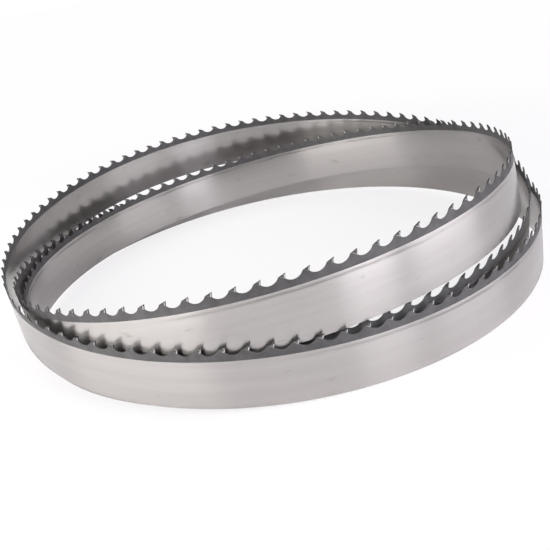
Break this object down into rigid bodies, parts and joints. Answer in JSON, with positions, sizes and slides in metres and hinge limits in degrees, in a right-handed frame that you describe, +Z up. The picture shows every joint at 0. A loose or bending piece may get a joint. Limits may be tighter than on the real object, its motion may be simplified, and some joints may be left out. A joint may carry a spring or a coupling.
{
  "type": "band saw blade",
  "caption": "Endless toothed steel strip for a band saw, folded into three loops, with a hard tip brazed to each hooked tooth.",
  "frame": {"origin": "under the middle of the coil, on the plane its back edge lies on", "axes": "+Z up through the coil, towards the tooth tips; the strip runs counter-clockwise seen from above, the way the teeth cut"},
  "size_m": [0.7365, 0.7232, 0.1646],
  "materials": {
    "strip": "polished strip with a matte ground zone along the teeth",
    "tip": "ground carbide"
  },
  "bodies": {
    "root": {"blade_band": "strip", "carbide_tips": "tip"}
  },
  "joints": []
}
